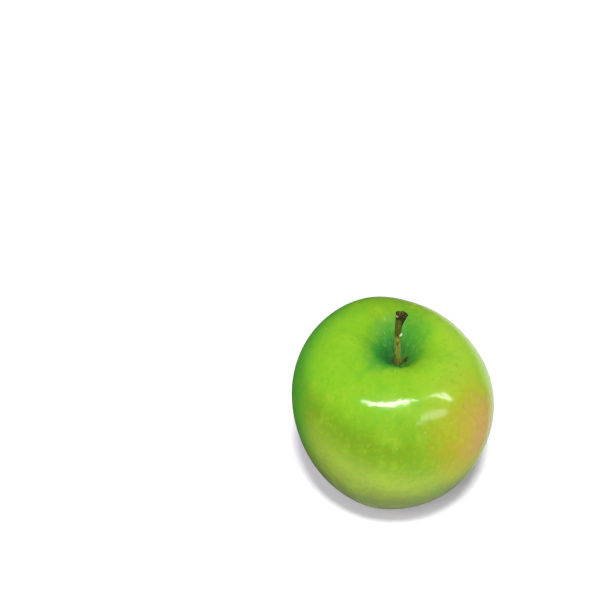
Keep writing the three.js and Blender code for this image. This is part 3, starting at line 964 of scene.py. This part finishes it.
class APPLE_OT_grow_stem(Operator):
    """Grows the woody stem with its grooves, its bud scar, its cut end and the bracts at its foot"""

    bl_idname = "apple.grow_stem"
    bl_label = "Stem"

    BUD_SHARE = 0.65  # of the length above the fruit
    BUD_ANGLE = math.radians(-32)
    BUD_LENGTH = 0.72 * MM
    BUD_WIDTH = 0.62  # as an angle round the stem
    BUD_HEIGHT = 0.6 * MM
    BUD_EDGE = 0.28  # share of the bud's height above which it is scar
    # The side of the upper stem that is painted in shade.
    DARK_SIDE = math.radians(-25)
    GLINT_SIDE = math.radians(190)  # where a glint is painted on the rim
    CAP_ROWS = 16
    RIM_SHARE = 0.3  # of the way in from the rim to the middle
    RIM_ROUNDING = 0.16 * MM
    DISH_DEPTH = 0.34 * MM
    PITH_HEIGHT = 0.3 * MM
    CUT_ROUGHNESS = 0.09 * MM
    # Tones that the bark's material turns into its dark, plain, wood and pale colours.
    DARK_TONE, PLAIN_TONE, WOOD_TONE, BARE_TONE, SCAR_TONE = 0.1, 0.5, 0.75, 0.9, 1.0
    # The bracts: the direction of each in degrees, mm from the core to its foot, and its size.
    BRACTS = ((-5, 2.4, 1.3), (195, 1.6, 0.8))
    BRACT_ROWS, BRACT_COLUMNS = 14, 7
    BRACT_HALF_WIDTH, BRACT_TIP, BRACT_THICKNESS = 0.62, 0.04, 0.42  # in mm, at size 1
    BRACT_TONE, BRACT_EDGE_TONE = 0.08, 0.16

    def execute(self, context):
        stem = context.scene.apple_stem
        growth = Growth(context.scene.apple_fruit)
        shells = Shells()
        rings, tones = self.wall(stem, growth)
        cap, cap_tones = self.cut_end(rings[-1])
        rings = np.concatenate([rings, cap[:-1]])
        tones = np.concatenate([tones, cap_tones[:-1]])
        shells.rings(rings, rings[0].mean(0), cap[-1].mean(0), tones)
        for degrees, foot, size in self.BRACTS:
            self.bract(shells, growth, math.radians(degrees), foot * MM, size)
        material = bark_material(stem, growth)
        shells.piece("stem_bark", material, "stem")
        return {"FINISHED"}

    def wall(self, stem, growth):
        """Rings and tones from the root to the rim of the cut end."""
        whole = stem.root + stem.reach
        shares = np.linspace(0, 1, stem.rows)
        above = (shares * whole - stem.root) / stem.reach
        bends = through(STEM_BENDS, above) * MM
        heights = above * stem.reach
        middles = np.column_stack([growth.stem_foot + bends, growth.cavity_floor + heights])
        angles = TURN * np.arange(stem.sides) / stem.sides
        rings = tube(middles, lambda a: stem_wall(stem, shares, a), stem.sides)
        apart = (angles - self.BUD_ANGLE + math.pi) % TURN - math.pi
        from_bud = (above[:, None] - self.BUD_SHARE) * stem.reach / self.BUD_LENGTH
        bud = np.exp(-(from_bud**2) - (apart / self.BUD_WIDTH) ** 2)
        depth = stem_relief(stem, rings, angles[None, :], heights[:, None]) + self.BUD_HEIGHT * bud
        away = rings - middles[:, None]
        away /= np.linalg.norm(away, axis=-1, keepdims=True)
        rings = rings + away * depth[..., None]
        # Painted shade down one side of the upper stem.
        dark_side = np.cos(angles - self.DARK_SIDE)[None, :]
        darkness = fade(above[:, None], 0.7, 0.9) * fade(dark_side, 0.2, 0.8)
        plain = self.PLAIN_TONE + (self.DARK_TONE - self.PLAIN_TONE) * darkness
        tones = np.where(bud > self.BUD_EDGE, self.SCAR_TONE, plain)
        # A painted glint on the left of the rim.
        glint_facing = np.cos(angles - self.GLINT_SIDE)[None, :]
        glint = fade(above[:, None], 0.955, 0.985) * fade(glint_facing, 0.6, 0.95)
        rim = fade(above[:, None], 0.9, 0.96) * (glint < 0.5)
        tones = np.where(rim > 0.5, self.DARK_TONE, tones)
        return rings, np.where(glint > 0.5, self.BARE_TONE, tones)

    def cut_end(self, rim):
        """Rings and tones that close the cut end: a rounded rim, a dish and a raised middle."""
        centre = rim.mean(0)
        part = np.linspace(0, 1, self.CAP_ROWS + 1)[1:, None, None]
        rounding = self.RIM_ROUNDING * np.sin(np.pi * np.clip(part / self.RIM_SHARE, 0, 1))
        dish = self.PITH_HEIGHT * fade(part, 0.6, 0.95) - self.DISH_DEPTH * fade(part, 0.15, 0.45)
        cap = centre + (rim - centre) * (1 - part)
        rough = bumps(cap.reshape(-1, 3), 0.45 * MM, seed=7).reshape(cap.shape[:2])[..., None]
        cap = cap + np.array([0, 0, 1.0]) * (rounding + dish + self.CUT_ROUGHNESS * rough * (1 - part))
        tones = np.where(part[..., 0] < self.RIM_SHARE, self.DARK_TONE, self.WOOD_TONE)
        return cap, np.broadcast_to(tones, cap.shape[:2])

    def bract(self, shells, growth, turn, foot, size):
        """A small dried bract that leans out from the stem's foot."""
        up_it, across_it = np.linspace(0, 1, self.BRACT_ROWS), np.linspace(-1, 1, self.BRACT_COLUMNS)
        along, across = np.meshgrid(up_it, across_it, indexing="ij")
        taper = (1 - along) ** 0.6 * (0.55 + 0.45 * along)
        width = size * self.BRACT_HALF_WIDTH * MM * taper + self.BRACT_TIP * MM
        lean = foot + size * (0.5 * along + 0.4 * along**2) * MM - 0.12 * MM * across**2
        rise = 0.35 * foot + size * (2.9 * along - 0.5 * along**2) * MM
        side = across * width
        middle = np.stack(
            [
                growth.stem_foot[0] + lean * math.cos(turn) - side * math.sin(turn),
                growth.stem_foot[1] + lean * math.sin(turn) + side * math.cos(turn),
                growth.cavity_floor + rise,
            ],
            -1,
        )
        middle += 0.05 * MM * bumps(middle.reshape(-1, 3), 0.6 * MM, seed=8).reshape(along.shape)[..., None]
        outward = np.array([math.cos(turn), math.sin(turn), -0.5])
        thick = self.BRACT_THICKNESS * MM * (1 - 0.5 * along)[..., None] * outward
        is_edge = np.abs(across) > 0.8
        shells.blade(middle, -thick, np.where(is_edge, self.BRACT_EDGE_TONE, self.BRACT_TONE))


class APPLE_OT_grow_calyx(Operator):
    """Grows the dried calyx in the basin: the cup, the curled sepals, the stamens and fine hairs"""

    bl_idname = "apple.grow_calyx"
    bl_label = "Calyx"

    SEED = 11
    # The cup's profile, from its mouth to its sunken floor: shares of its radius and of its height or lip.
    CUP_PROFILE = (
        (1.0, 1),
        (0.8, 0.8),
        (0.98, 0.2),
        (1.02, -0.3),
        (0.97, -1),
        (0.8, -1.05),
        (0.66, -0.7),
        (0.3, -0.35),
    )
    CUP_ROWS, CUP_SIDES = 40, 60
    CUP_SHARE = 0.6  # of its height, that is set into the flesh
    CUP_TONE = 0.3
    CUP_ROUGHNESS = 0.07 * MM
    CUP_RAGGEDNESS = ((7, 0.05, 1), (13, 0.04, 0))
    SEPAL_ROWS, SEPAL_COLUMNS = 34, 13
    SEPAL_RING = 2.1  # mm from the core to a sepal's root
    SEPAL_LEAN = 0.75  # mm that it leans in over the cup
    SEPAL_CURL = 2.6  # mm that its tip curls out
    SEPAL_ROOT = 0.8 * MM  # how deep it is sunk in the cup
    SEPAL_TIP = 0.1 * MM  # half width of its tip
    HAIR_ROWS, HAIR_SIDES = 4, 3
    HAIR_LENGTHS = (0.35, 0.95)  # in mm
    HAIR_SAG = (0, 0.35)  # shares of the length
    HAIR_RADIUS = 0.035 * MM
    HAIR_TONE = 0.95
    STAMEN_ROWS, STAMEN_SIDES = 12, 8
    STAMEN_ROOT = 0.6 * MM  # how deep it is sunk in the cup
    STAMEN_RADIUS = 0.13  # of the thread, in mm
    STAMEN_HEAD = 0.17  # how much thicker the head is, in mm
    STAMEN_HEAD_AT, STAMEN_HEAD_REACH = 0.88, 0.1  # shares of the length
    STAMEN_BOW = 0.28 * MM
    STAMEN_LENGTHS = (0.6, 1.0)  # shares of the longest
    STAMEN_LEANS = (0.9, 1.5)  # how many times further out the tip is than the root
    STAMEN_TONES = (0.35, 0.8)

    def execute(self, context):
        calyx = context.scene.apple_calyx
        fruit = context.scene.apple_fruit
        growth = Growth(fruit)
        chance = np.random.default_rng(self.SEED)
        shells = Shells()
        self.cup(shells, calyx, growth)
        for index in range(calyx.sepals):
            turn = fruit.lobe_turn + TURN * index / calyx.sepals
            middle = self.sepal(shells, calyx, growth, turn, index)
            self.hairs(shells, middle, calyx.hairs // calyx.sepals, chance)
        for index in range(calyx.stamens):
            self.stamen(shells, calyx, growth, index, chance)
        material = calyx_material(calyx)
        shells.piece("dried_calyx", material, "calyx")
        return {"FINISHED"}

    def cup(self, shells, calyx, growth):
        """The ring that the sepals stand on, with a sunken floor and a ragged lip."""
        last = len(self.CUP_PROFILE) - 1
        table = [(*point, step / last) for step, point in enumerate(self.CUP_PROFILE)]
        profile = through(table, np.linspace(0, 1, self.CUP_ROWS))
        angles = TURN * np.arange(self.CUP_SIDES) / self.CUP_SIDES
        ragged = 1 + waves(angles, self.CUP_RAGGEDNESS)
        wide = calyx.cup_radius * profile[:, :1] * ragged
        reach = np.where(profile[:, 1:] > 0, calyx.cup_height * self.CUP_SHARE, calyx.cup_lip)
        rings = np.stack(
            [
                growth.core[0] + wide * np.cos(angles),
                growth.core[1] + wide * np.sin(angles),
                growth.basin_floor + reach * profile[:, 1:] * np.ones(self.CUP_SIDES),
            ],
            -1,
        )
        rough = bumps(rings.reshape(-1, 3), 0.9 * MM, seed=9).reshape(rings.shape[:2])[..., None]
        rings += self.CUP_ROUGHNESS * rough
        rings = rings[::-1]
        shells.rings(rings, rings[0].mean(0), rings[-1].mean(0), self.CUP_TONE)

    def sepal(self, shells, calyx, growth, turn, index):
        """A dried sepal that leans in over the cup and curls out at its tip. Returns its middle surface."""
        down_it, across_it = np.linspace(0, 1, self.SEPAL_ROWS), np.linspace(-1, 1, self.SEPAL_COLUMNS)
        along, across = np.meshgrid(down_it, across_it, indexing="ij")
        curl = 1 + 0.25 * math.sin(2.3 * index)  # each curls a little differently
        width = calyx.sepal_half_width * (1 - along) ** 0.75 + self.SEPAL_TIP
        width *= 1 + 0.1 * np.sin(17 * along + 2 * index) * np.abs(across) ** 3
        lean = self.SEPAL_RING - self.SEPAL_LEAN * np.sin(1.9 * along) + self.SEPAL_CURL * curl * along**3
        cupped = 0.3 * MM * across**2 * (1 - along) - 0.1 * MM * np.cos(3 * np.pi * across) * (1 - along)
        wavy = 0.16 * MM * np.sin(9 * along + 3 * across + 1.7 * index) * along
        down = calyx.sepal_length * (along - 0.16 * curl * along**4) - self.SEPAL_ROOT
        out = lean * MM - cupped + wavy
        side = across * width
        middle = np.stack(
            [
                growth.core[0] + out * math.cos(turn) - side * math.sin(turn),
                growth.core[1] + out * math.sin(turn) + side * math.cos(turn),
                growth.basin_floor - down,
            ],
            -1,
        )
        thick = calyx.sepal_thickness / 2 * (1 - 0.6 * np.abs(across) ** 2) * (1 - 0.5 * along)
        normal = np.array([math.cos(turn), math.sin(turn), 0.25])
        tone = np.clip(0.55 - 0.35 * along - 0.2 * np.abs(across) + 0.3 * (np.abs(across) < 0.12), 0, 1)
        shells.blade(middle, thick[..., None] * normal, tone)
        return middle

    def hairs(self, shells, middle, number_of_hairs, chance):
        """Fine tapered hairs that stand out from a sepal on both sides."""
        rows, columns = middle.shape[:2]
        for _ in range(number_of_hairs):
            foot = middle[chance.integers(1, rows - 2), chance.integers(0, columns)]
            way = chance.normal(size=3)
            way /= np.linalg.norm(way)
            reach = chance.uniform(*self.HAIR_LENGTHS) * MM
            sag = np.array([0, 0, -1.0]) * reach * chance.uniform(*self.HAIR_SAG)
            steps = np.linspace(0, 1, self.HAIR_ROWS)[:, None]
            line = foot + way * reach * steps + sag * steps**2
            thin = self.HAIR_RADIUS * (1 - 0.85 * steps)
            rings = tube(line, lambda a, thin=thin: thin * np.ones(len(a)), self.HAIR_SIDES)
            shells.rings(rings, line[0], line[-1], self.HAIR_TONE)

    def stamen(self, shells, calyx, growth, index, chance):
        """A withered stamen: a bent thread with a shrivelled head."""
        turn = index * GOLDEN_ANGLE
        spread = (0.2 + 1.25 * math.sqrt((index + 0.5) / calyx.stamens)) * MM
        reach = calyx.stamen_length * chance.uniform(*self.STAMEN_LENGTHS)
        lean = chance.uniform(*self.STAMEN_LEANS)
        share_down = np.linspace(0, 1, self.STAMEN_ROWS)
        out = spread * (1 + (lean - 1) * share_down)
        aside = self.STAMEN_BOW * np.sin(3.2 * share_down + chance.uniform(0, TURN))
        middles = np.column_stack(
            [
                growth.core[0] + out * math.cos(turn) - aside * math.sin(turn),
                growth.core[1] + out * math.sin(turn) + aside * math.cos(turn),
                growth.basin_floor + self.STAMEN_ROOT - reach * share_down,
            ]
        )
        head = np.exp(-(((share_down - self.STAMEN_HEAD_AT) / self.STAMEN_HEAD_REACH) ** 2))
        radii = (self.STAMEN_RADIUS + self.STAMEN_HEAD * head)[:, None] * MM
        rings = tube(middles, lambda a: radii * (1 + 0.15 * np.cos(2 * a)), self.STAMEN_SIDES)
        shells.rings(rings, middles[0], middles[-1], chance.uniform(*self.STAMEN_TONES))


# ---- Studio ----------------------------------------------------------------------------------------


def stage_piece(name, points, faces, material, hidden_from):
    """A piece of the stage, which the named kinds of light don't meet."""
    mesh = bpy.data.meshes.new(name)
    mesh.from_pydata(points, [], faces)
    mesh.materials.append(material)
    made = bpy.data.objects.new(name, mesh)
    for kind in hidden_from:
        setattr(made, "visible_" + kind, False)
    bpy.context.scene.collection.objects.link(made)
    return made


class APPLE_OT_set_studio(Operator):
    """Sets the pale floor, the lamps, the white room and the camera"""

    bl_idname = "apple.set_studio"
    bl_label = "Studio"

    IMAGE_SIDE = 600
    CORE_PIXEL = (391.45, 400.54)  # where the core crosses the widest height, in the rendered image
    SENSOR_WIDTH = 36  # in mm
    NEAR, FAR = 0.01, 50  # what the camera sees, in metres
    WHITE, BLACK = (1, 1, 1), (0, 0, 0)
    FLOOR_SIDES, FLOOR_RINGS = 96, 14
    FLOOR_DROP = 0.05 * MM  # how far the floor lies under the apple's feet
    WALL_BOTTOM, WALL_TOP = -0.02, 0.9  # as shares of the floor's radius
    # The dark wall: its distance from the core, its height and where it starts and ends in degrees.
    DARK_WALL = (72 * MM, 30 * MM, 155, 228)
    DARK_WALL_COLOUR = (0.04, 0.06, 0.02)
    DARK_WALL_SIDES = 24
    # Lamps that only the skin's gloss shows. The long lamp is bent: mm right of and behind the core to
    # each of its joints, and its width from there to the next.
    LONG_LAMP = (
        (-640, -630, 60),
        (-414, -705, 95),
        (-61, -675, 115),
        (248, -510, 85),
        (400, -350, 45),
        (452, -262, 0),
    )
    OVERLAP = 1.08  # the long lamp's lengths overlap a little at its joints
    # Each of the others has its middle, its length, its width and the degrees that it is turned by.
    SIDE_LAMP = (930, -185, 780, 80, -5)
    PANELS = ((1110, -650, 430, 330, -15), (850, -760, 400, 480, 0), (760, -1120, 160, 240, 20))
    # Suns that only light the surfaces: the direction that each comes from, and its width in degrees.
    KEY = ((-0.02, -0.33, 0.93), 8)
    # The lamp that casts the shadow: mm right of and behind the core, above the floor, and across.
    FLOOR_LAMP = (-38, -343, 840, 145)
    DOME = ((0.08, -0.03, 1), 170)
    FILL = ((-0.05, -0.9, 0.1), 90)
    FRONT = ((-0.28, -0.66, 0.7), 30)
    # Where the room is brighter: the way there, and how near to it the glow starts and is full.
    ROOM_RIGHT = ((0.5, 0.72, -0.48), 0.86, 0.99)
    ROOM_BELOW = ((0.3, -0.1, -0.95), 0.6, 0.97)

    def execute(self, context):
        studio = context.scene.apple_studio
        growth = Growth(context.scene.apple_fruit)
        pieces = [made for made in context.scene.objects if made.name in PIECES]
        floor = self.floor(studio)
        self.backdrop(studio)
        self.dark_wall(growth)
        self.room(context.scene, studio)
        for index, (start, end) in enumerate(zip(self.LONG_LAMP, self.LONG_LAMP[1:])):
            right, back = (start[0] + end[0]) / 2, (start[1] + end[1]) / 2
            long = math.hypot(end[0] - start[0], end[1] - start[1])
            turn = math.degrees(math.atan2(end[1] - start[1], end[0] - start[0]))
            lamp = (right, back, long * self.OVERLAP, start[2], turn)
            self.strip(f"long_lamp_{index}", studio, growth, lamp, studio.strip_glow, "RECTANGLE")
        self.strip("side_lamp", studio, growth, self.SIDE_LAMP, studio.side_glow, "ELLIPSE")
        for index, panel in enumerate(self.PANELS):
            self.strip(f"panel_{index}", studio, growth, panel, studio.panel_glow, "ELLIPSE")
        self.sun("key_light", self.KEY, studio.key_power, self.WHITE, pieces)
        self.sun("dome_light", self.DOME, studio.dome_power, self.WHITE, pieces)
        self.sun("fill_light", self.FILL, studio.fill_power, self.WHITE, pieces)
        self.sun("floor_dome", self.DOME, studio.floor_dome_power, self.WHITE, [floor])
        self.sun("floor_front", self.FRONT, studio.floor_front_power, studio.floor_front_tint, [floor])
        self.floor_lamp(studio, growth, floor)
        self.camera(context.scene, studio, growth)
        return {"FINISHED"}

    def floor(self, studio):
        """A round floor of rings that widen outwards."""
        sides, rings = self.FLOOR_SIDES, self.FLOOR_RINGS
        angles = TURN * np.arange(sides) / sides
        radii = studio.floor_radius * np.linspace(0, 1, rings + 1)[1:] ** 3
        low = -self.FLOOR_DROP
        points = [(0, 0, low)] + [(r * math.cos(a), r * math.sin(a), low) for r in radii for a in angles]
        faces = [(0, 1 + k, 1 + (k + 1) % sides) for k in range(sides)]
        for ring in range(rings - 1):
            inner = 1 + ring * sides
            for k in range(sides):
                after = (k + 1) % sides
                faces.append((inner + k, inner + sides + k, inner + sides + after, inner + after))
        return stage_piece("floor", points, faces, floor_material(studio), ["glossy"])

    def backdrop(self, studio):
        """A white wall round the floor's edge, which only the camera sees."""
        sides = self.FLOOR_SIDES
        angles = TURN * np.arange(sides) / sides
        wide = studio.floor_radius
        levels = (self.WALL_BOTTOM * wide, self.WALL_TOP * wide)
        points = [(wide * math.cos(a), wide * math.sin(a), z) for z in levels for a in angles]
        faces = [(k, (k + 1) % sides, sides + (k + 1) % sides, sides + k) for k in range(sides)]
        g = material_graph("white_wall")
        material = g.finish(Base_Color=self.BLACK, Emission_Color=self.WHITE, Emission_Strength=1.0)
        stage_piece("backdrop", points, faces, material, ["diffuse", "glossy", "shadow"])

    def dark_wall(self, growth):
        """A low wall left of the apple that the camera doesn't see. It keeps the floor's light off there."""
        sides = self.DARK_WALL_SIDES
        reach, height, first, last = self.DARK_WALL
        angles = np.radians(np.linspace(first, last, sides + 1))
        foot = [(reach * math.cos(a), reach * math.sin(a)) for a in angles]
        points = [tuple(growth.at(right, back, z)) for z in (0, height) for right, back in foot]
        faces = [(k, k + 1, sides + 2 + k, sides + 1 + k) for k in range(sides)]
        g = material_graph("dark_wall")
        material = g.finish(Base_Color=self.DARK_WALL_COLOUR, Roughness=1.0, Specular_IOR_Level=0.0)
        stage_piece("dark_wall", points, faces, material, ["camera", "shadow"])

    def room(self, scene, studio):
        """A dim room, brighter behind the apple on the right and below it."""
        world = bpy.data.worlds.new("room")
        g = Graph(world)
        way = g.node("ShaderNodeTexCoord", output="Generated")
        glows = []
        for (towards, low, full), strength in (
            (self.ROOM_RIGHT, studio.room_right),
            (self.ROOM_BELOW, studio.room_below),
        ):
            nearness = g.vector("DOT_PRODUCT", way, towards, output="Value")
            glows.append(g.times(g.fade(nearness, low, full), strength))
        background = g.tree.nodes["Background"]
        g.put(background.inputs["Strength"], g.plus(*glows, studio.room))
        g.put(background.inputs["Color"], self.WHITE)
        scene.world = world
        scene.view_settings.view_transform = "Standard"
        scene.view_settings.look = "None"

    def strip(self, name, studio, growth, lamp, glow, shape):
        """A lamp that hangs level and shows only in the skin's gloss."""
        right, back, long, wide, turn = lamp
        light = bpy.data.lights.new(name, "AREA")
        light.shape = shape
        light.size, light.size_y = long * MM, wide * MM
        area = light.size * light.size_y * (math.pi / 4 if shape == "ELLIPSE" else 1)
        light.energy = 4 * area * glow  # 4 watts a square metre make a glow of 1
        made = bpy.data.objects.new(name, light)
        made.location = growth.at(right * MM, back * MM, studio.lamp_height)
        made.rotation_euler.z = math.radians(turn)
        made.visible_diffuse = False
        bpy.context.scene.collection.objects.link(made)

    def sun(self, name, sun, power, tint, lit):
        """Broad light on the objects in lit, which the gloss doesn't show."""
        towards, width = sun
        light = bpy.data.lights.new(name, "SUN")
        light.angle = math.radians(width)
        light.energy = power
        light.color = tint
        made = bpy.data.objects.new(name, light)
        made.rotation_euler = Vector(towards).to_track_quat("Z", "Y").to_euler()
        self.light_only(made, lit)

    def floor_lamp(self, studio, growth, floor):
        """The round lamp over the apple that casts its shadow on the floor."""
        right, back, up, wide = self.FLOOR_LAMP
        light = bpy.data.lights.new("floor_lamp", "AREA")
        light.shape = "DISK"
        light.size = wide * MM
        light.energy = studio.floor_lamp_power
        made = bpy.data.objects.new("floor_lamp", light)
        made.location = growth.at(right * MM, back * MM, up * MM)
        made.rotation_euler = Vector((right, back, up)).to_track_quat("Z", "Y").to_euler()
        self.light_only(made, [floor])

    def light_only(self, made, lit):
        """Puts a lamp in the scene that lights the objects in lit, and that the gloss doesn't show."""
        made.visible_glossy = False
        bpy.context.scene.collection.objects.link(made)
        receivers = bpy.data.collections.new(made.name + "_receivers")
        for thing in lit:
            receivers.objects.link(thing)
        made.light_linking.receiver_collection = receivers

    def camera(self, scene, studio, growth):
        """Aims the camera so that the core's widest height falls on its place in the image."""
        data = bpy.data.cameras.new("camera")
        data.lens = studio.lens
        data.sensor_width = self.SENSOR_WIDTH
        data.clip_start, data.clip_end = self.NEAR, self.FAR
        pitch = studio.pitch
        right = Vector((1, 0, 0))
        ahead = Vector((0, math.cos(pitch), -math.sin(pitch)))
        up = Vector((0, math.sin(pitch), math.cos(pitch)))
        pixel = studio.distance * data.sensor_width / data.lens / self.IMAGE_SIDE  # one pixel at the core
        across = (self.CORE_PIXEL[0] - self.IMAGE_SIDE / 2) * pixel
        down = (self.CORE_PIXEL[1] - self.IMAGE_SIDE / 2) * pixel
        anchor = Vector(growth.at(0, 0, growth.widest))
        camera = bpy.data.objects.new("camera", data)
        camera.location = anchor - right * across + up * down - ahead * studio.distance
        camera.rotation_euler = (math.pi / 2 - pitch, 0, 0)
        scene.collection.objects.link(camera)
        scene.camera = camera


# ---- Panel and registration ------------------------------------------------------------------------

OPERATORS = (APPLE_OT_grow_fruit, APPLE_OT_grow_stem, APPLE_OT_grow_calyx, APPLE_OT_set_studio)


class APPLE_PT_panel(Panel):
    """Lists the operators that make the apple, with each group of settings"""

    bl_idname = "APPLE_PT_panel"
    bl_label = "Green Apple"
    bl_space_type = "VIEW_3D"
    bl_region_type = "UI"
    bl_category = "Apple"

    def draw(self, context):
        for operator in OPERATORS:
            self.layout.operator(operator.bl_idname)
        for name, group in SETTINGS.items():
            box = self.layout.box()
            box.label(text=name.replace("_", " ").capitalize())
            for setting in group.__annotations__:
                box.prop(getattr(context.scene, name), setting)


def register():
    for group in (*SETTINGS.values(), *OPERATORS, APPLE_PT_panel):
        bpy.utils.register_class(group)
    for name, group in SETTINGS.items():
        setattr(bpy.types.Scene, name, PointerProperty(type=group))


def unregister():
    for name in SETTINGS:
        delattr(bpy.types.Scene, name)
    for group in reversed((*SETTINGS.values(), *OPERATORS, APPLE_PT_panel)):
        bpy.utils.unregister_class(group)


def main():
    register()
    bpy.ops.apple.grow_fruit()
    bpy.ops.apple.grow_stem()
    bpy.ops.apple.grow_calyx()
    bpy.ops.apple.set_studio()


if __name__ == "__main__":
    main()
